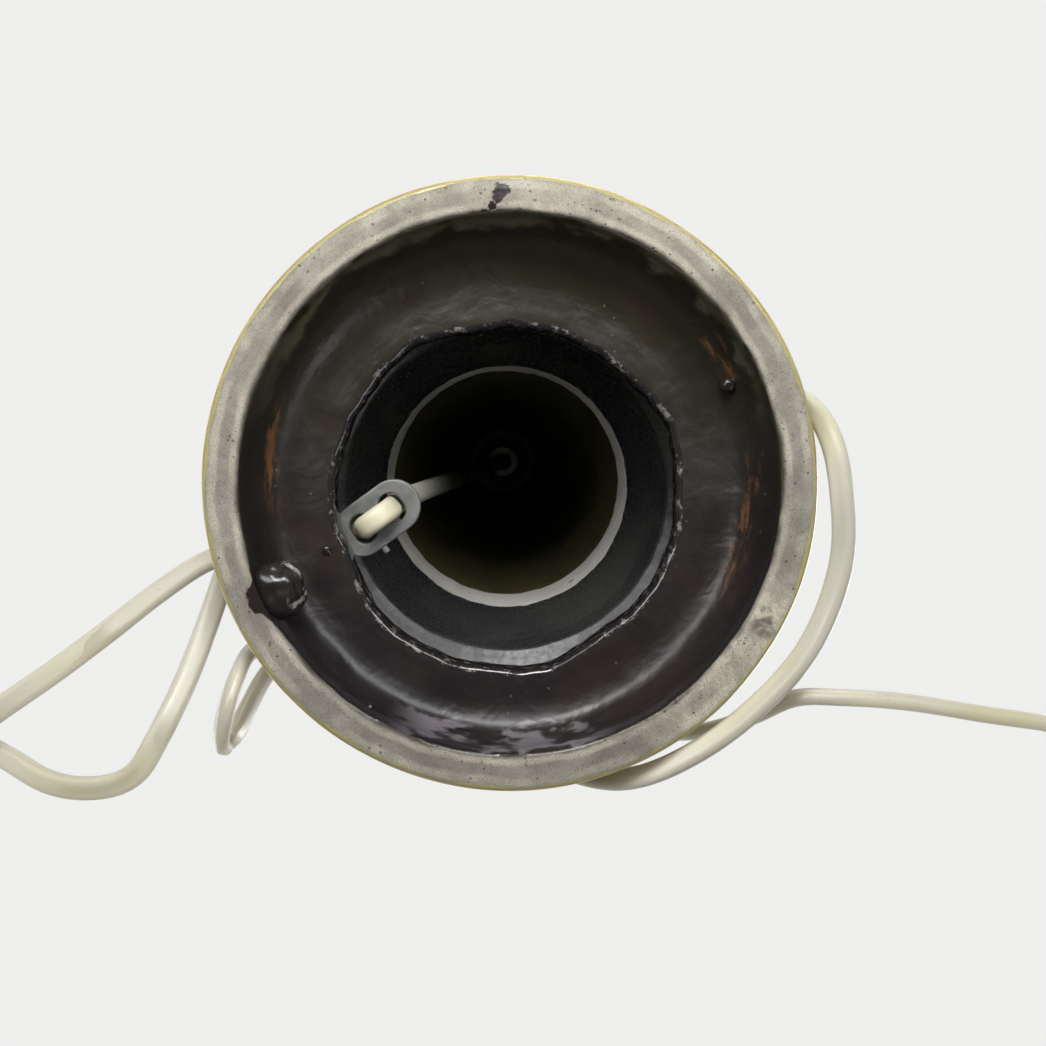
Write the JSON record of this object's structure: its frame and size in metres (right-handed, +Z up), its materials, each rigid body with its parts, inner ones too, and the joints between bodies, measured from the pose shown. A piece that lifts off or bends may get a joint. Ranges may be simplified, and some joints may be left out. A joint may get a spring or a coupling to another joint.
{
  "type": "table lamp base",
  "caption": "Hand-thrown stoneware table lamp base on a buff foot ring, with a black lampholder, a push-through switch and an ivory flat flex with its plug.",
  "frame": {"origin": "centre of the foot ring's underside, on the outside's axis", "axes": "+Z up the lamp from the foot to the lampholder's mouth; +Y towards the side hole the flex leaves by; +X along the switch bar"},
  "size_m": [0.1549, 0.3311, 0.3447],
  "materials": {
    "glaze": "ochre satin glaze outside, black glossy glaze inside, unglazed buff foot ring",
    "zinc": "zinc plated steel",
    "brass": "polished brass",
    "black_plastic": "black phenolic-type plastic, semi-gloss",
    "pale_plastic": "off-white moulded plastic",
    "ivory_flex": "ivory vinyl, slightly glossy",
    "frosted_nylon": "frosted translucent nylon",
    "rubber": "dark grey rubber",
    "porcelain": "white glazed porcelain",
    "brown_core": "brown insulation",
    "blue_core": "blue insulation",
    "pin_metal": "nickel plated pins"
  },
  "bodies": {
    "lamp": {"ceramic_body": "glaze", "threaded_tube": "zinc", "tube_end_bush": "pale_plastic", "inner_nut": "zinc", "inner_washer": "zinc", "inner_gasket": "rubber", "top_gasket": "rubber", "brass_cap": "brass", "top_nut": "brass", "spacer_collar": "brass", "holder_cap": "black_plastic", "cap_lock_screw": "zinc", "holder_skirt": "black_plastic", "contact_block": "porcelain", "terminal_screw_line": "brass", "terminal_screw_neutral": "brass", "screw_shell": "brass", "cord_inside": "ivory_flex", "core_line": "brown_core", "core_neutral": "blue_core", "cord_buckle": "frosted_nylon", "cord_free": "ivory_flex", "plug_sleeve": "ivory_flex", "plug_body": "ivory_flex", "plug_pin_left": "pin_metal", "plug_pin_right": "pin_metal"},
    "shade_ring": {"shade_ring": "black_plastic"},
    "switch": {"switch_bar": "brass", "switch_slider": "pale_plastic", "switch_cap_left": "black_plastic", "switch_cap_right": "black_plastic"},
    "centre_contact": {"centre_contact": "brass"}
  },
  "joints": [
    {"name": "shade_ring_turn", "type": "hinge", "parent": "lamp", "child": "shade_ring", "pos_m": [0, 0, 0.3287], "axis": [0, 0, 1], "continuous": true},
    {"name": "switch_push", "type": "slide", "parent": "lamp", "child": "switch", "axis": [1, 0, 0], "range_m": [0, 0.006]},
    {"name": "centre_contact_flex", "type": "hinge", "parent": "lamp", "child": "centre_contact", "pos_m": [-0.0065, 0, 0.3198], "axis": [0, 1, 0], "range_deg": [0, 8], "stiffness_Nm_per_rad": 0.05}
  ]
}
